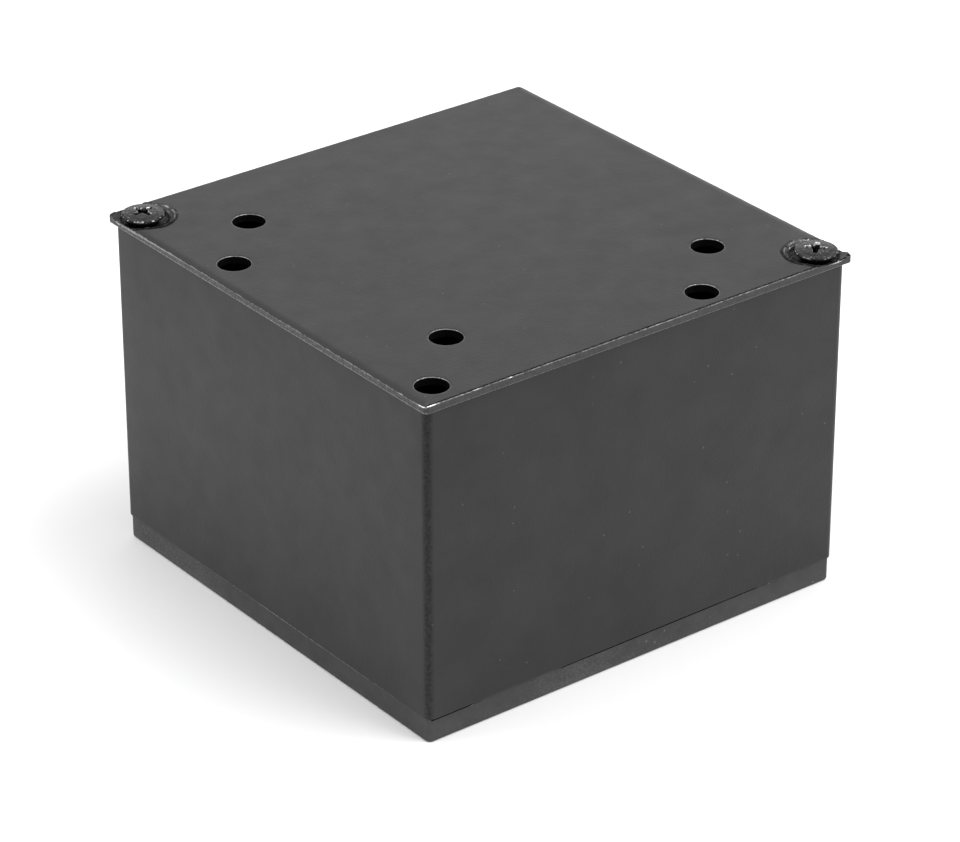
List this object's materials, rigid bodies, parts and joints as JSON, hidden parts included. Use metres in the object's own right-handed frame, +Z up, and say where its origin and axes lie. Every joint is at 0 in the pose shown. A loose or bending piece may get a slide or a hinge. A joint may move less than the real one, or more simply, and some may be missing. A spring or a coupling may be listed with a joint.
{
  "type": "furniture leg",
  "caption": "Low square furniture leg: punched steel mounting plate on an extruded square tube with a moulded plastic base cap.",
  "frame": {"origin": "on the floor under the middle of the leg", "axes": "+Z up, X and Y along the plate's edges; the screws are in the corners at -X, +Y and +X, -Y, and the corner hole of each fixing group is near -X, -Y"},
  "size_m": [0.1, 0.1, 0.0711],
  "materials": {
    "coated_steel": "fine matte powder coat, near black",
    "coated_aluminium": "fine matte powder coat on an extrusion, near black",
    "black_plastic": "matte moulded, dusty and lightly scuffed",
    "blackened_steel": "blackened, satin"
  },
  "bodies": {
    "root": {"mounting_plate": "coated_steel", "leg_tube": "coated_aluminium", "base_cap": "black_plastic", "plate_screw_pair": "blackened_steel"}
  },
  "joints": []
}
